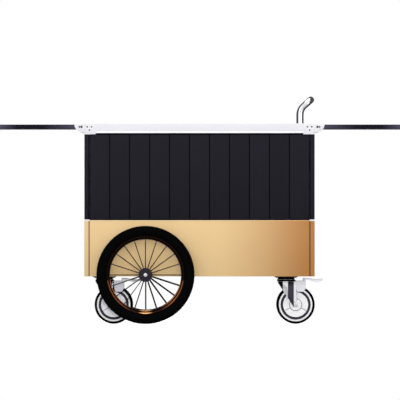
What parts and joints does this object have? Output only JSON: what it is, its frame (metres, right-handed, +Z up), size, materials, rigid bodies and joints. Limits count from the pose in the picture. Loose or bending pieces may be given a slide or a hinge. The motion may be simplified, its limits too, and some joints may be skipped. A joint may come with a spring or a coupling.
{
  "type": "push vending cart",
  "caption": "Box-shaped street vending cart with a white table, folding end leaves, black boards over a gold skirt, spoked wheels, braked swivel casters and a push handle.",
  "frame": {"origin": "on the floor, under the centre of the cabinet and of the whole cart with both leaves up", "axes": "+X along the cart to the end with the push handle, -Y out of the customer's side, +Y out of the doors, +Z up"},
  "size_m": [2.112, 0.9456, 1.1865],
  "materials": {
    "frame_paint": "satin white powder coat",
    "panel_ply": "sealed birch plywood",
    "table_white": "satin white enamel",
    "board_black": "black lacquered boards, satin",
    "skirt_gold": "satin gold metallic",
    "cover_black": "satin black powder coat",
    "bracket_white": "satin white enamel",
    "screw_dark": "dark plated steel",
    "handle_chrome": "polished chrome",
    "axle_chrome": "polished chrome",
    "caster_zinc": "bright zinc plate",
    "leaf_board": "black laminate",
    "leaf_edge": "polished dark steel",
    "wheel_tyre": "black rubber",
    "rim_copper": "polished copper-coloured anodising",
    "hub_dark": "dark satin paint",
    "spoke_steel": "dark spokes with bright nipples",
    "caster_black": "gloss black",
    "fork_chrome": "bright chrome plate",
    "brake_white": "light grey moulded plastic",
    "core_white": "white moulded plastic",
    "caster_tread": "black rubber tread"
  },
  "bodies": {
    "cart": {"frame_tubes": "frame_paint", "floor_panel": "panel_ply", "inner_shelf": "panel_ply", "table_top": "table_white", "table_core": "panel_ply", "front_boards": "board_black", "end_boards": "board_black", "skirts": "skirt_gold", "upper_corner_covers": "cover_black", "lower_corner_covers": "skirt_gold", "hinge_plates": "bracket_white", "hinge_screws": "screw_dark", "leaf_pivot_pins": "screw_dark", "push_handle": "handle_chrome", "handle_sockets": "frame_paint", "axle_blocks": "frame_paint", "caster_plates": "caster_zinc", "caster_bolts": "caster_zinc", "door_hinges": "screw_dark", "wheel_axles": "axle_chrome"},
    "left_door": {"left_door": "board_black", "left_door_pull": "handle_chrome", "left_door_leaves": "screw_dark"},
    "left_leaf": {"left_leaf": "leaf_board", "left_leaf_edge": "leaf_edge", "left_leaf_arms": "bracket_white"},
    "right_door": {"right_door": "board_black", "right_door_pull": "handle_chrome", "right_door_leaves": "screw_dark"},
    "right_leaf": {"right_leaf": "leaf_board", "right_leaf_edge": "leaf_edge", "right_leaf_arms": "bracket_white"},
    "front_wheel": {"front_wheel_tyre": "wheel_tyre", "front_wheel_rim": "rim_copper", "front_wheel_hub": "hub_dark", "front_wheel_spokes": "spoke_steel"},
    "rear_wheel": {"rear_wheel_tyre": "wheel_tyre", "rear_wheel_rim": "rim_copper", "rear_wheel_hub": "hub_dark", "rear_wheel_spokes": "spoke_steel"},
    "front_left_swivel": {"front_left_caster_head": "caster_black", "front_left_caster_fork": "fork_chrome"},
    "front_left_brake": {"front_left_caster_brake": "brake_white"},
    "front_left_roller": {"front_left_caster_core": "core_white", "front_left_caster_tyre": "caster_tread"},
    "front_right_swivel": {"front_right_caster_head": "caster_black", "front_right_caster_fork": "fork_chrome"},
    "front_right_brake": {"front_right_caster_brake": "brake_white"},
    "front_right_roller": {"front_right_caster_core": "core_white", "front_right_caster_tyre": "caster_tread"},
    "rear_left_swivel": {"rear_left_caster_head": "caster_black", "rear_left_caster_fork": "fork_chrome"},
    "rear_left_brake": {"rear_left_caster_brake": "brake_white"},
    "rear_left_roller": {"rear_left_caster_core": "core_white", "rear_left_caster_tyre": "caster_tread"},
    "rear_right_swivel": {"rear_right_caster_head": "caster_black", "rear_right_caster_fork": "fork_chrome"},
    "rear_right_brake": {"rear_right_caster_brake": "brake_white"},
    "rear_right_roller": {"rear_right_caster_core": "core_white", "rear_right_caster_tyre": "caster_tread"}
  },
  "joints": [
    {"name": "left_leaf_fold", "type": "hinge", "parent": "cart", "child": "left_leaf", "pos_m": [-0.615, 0, 1.028], "axis": [0, -1, 0], "range_deg": [0, 90]},
    {"name": "right_leaf_fold", "type": "hinge", "parent": "cart", "child": "right_leaf", "pos_m": [0.615, 0, 1.028], "axis": [0, 1, 0], "range_deg": [0, 90]},
    {"name": "left_door_hinge", "type": "hinge", "parent": "cart", "child": "left_door", "pos_m": [-0.5725, 0.3835, 0.764], "axis": [0, 0, 1], "range_deg": [0, 105]},
    {"name": "right_door_hinge", "type": "hinge", "parent": "cart", "child": "right_door", "pos_m": [0.5725, 0.3835, 0.764], "axis": [0, 0, -1], "range_deg": [0, 105]},
    {"name": "front_wheel_spin", "type": "hinge", "parent": "cart", "child": "front_wheel", "pos_m": [-0.2815, -0.4265, 0.256], "axis": [0, 1, 0], "continuous": true},
    {"name": "rear_wheel_spin", "type": "hinge", "parent": "cart", "child": "rear_wheel", "pos_m": [-0.2815, 0.4265, 0.256], "axis": [0, 1, 0], "continuous": true},
    {"name": "front_left_swivel_turn", "type": "hinge", "parent": "cart", "child": "front_left_swivel", "pos_m": [-0.497, -0.2, 0.25], "axis": [0, 0, 1], "continuous": true},
    {"name": "front_left_roller_spin", "type": "hinge", "parent": "front_left_swivel", "child": "front_left_roller", "pos_m": [-0.448, -0.2, 0.1], "axis": [0, 1, 0], "continuous": true},
    {"name": "front_left_brake_press", "type": "hinge", "parent": "front_left_swivel", "child": "front_left_brake", "pos_m": [-0.453, -0.2, 0.211], "axis": [0, 1, 0], "range_deg": [0, 7]},
    {"name": "front_right_swivel_turn", "type": "hinge", "parent": "cart", "child": "front_right_swivel", "pos_m": [0.453, -0.2, 0.25], "axis": [0, 0, 1], "continuous": true},
    {"name": "front_right_roller_spin", "type": "hinge", "parent": "front_right_swivel", "child": "front_right_roller", "pos_m": [0.502, -0.2, 0.1], "axis": [0, 1, 0], "continuous": true},
    {"name": "front_right_brake_press", "type": "hinge", "parent": "front_right_swivel", "child": "front_right_brake", "pos_m": [0.497, -0.2, 0.211], "axis": [0, 1, 0], "range_deg": [0, 7]},
    {"name": "rear_left_swivel_turn", "type": "hinge", "parent": "cart", "child": "rear_left_swivel", "pos_m": [-0.497, 0.2, 0.25], "axis": [0, 0, 1], "continuous": true},
    {"name": "rear_left_roller_spin", "type": "hinge", "parent": "rear_left_swivel", "child": "rear_left_roller", "pos_m": [-0.448, 0.2, 0.1], "axis": [0, 1, 0], "continuous": true},
    {"name": "rear_left_brake_press", "type": "hinge", "parent": "rear_left_swivel", "child": "rear_left_brake", "pos_m": [-0.453, 0.2, 0.211], "axis": [0, 1, 0], "range_deg": [0, 7]},
    {"name": "rear_right_swivel_turn", "type": "hinge", "parent": "cart", "child": "rear_right_swivel", "pos_m": [0.453, 0.2, 0.25], "axis": [0, 0, 1], "continuous": true},
    {"name": "rear_right_roller_spin", "type": "hinge", "parent": "rear_right_swivel", "child": "rear_right_roller", "pos_m": [0.502, 0.2, 0.1], "axis": [0, 1, 0], "continuous": true},
    {"name": "rear_right_brake_press", "type": "hinge", "parent": "rear_right_swivel", "child": "rear_right_brake", "pos_m": [0.497, 0.2, 0.211], "axis": [0, 1, 0], "range_deg": [0, 7]}
  ]
}
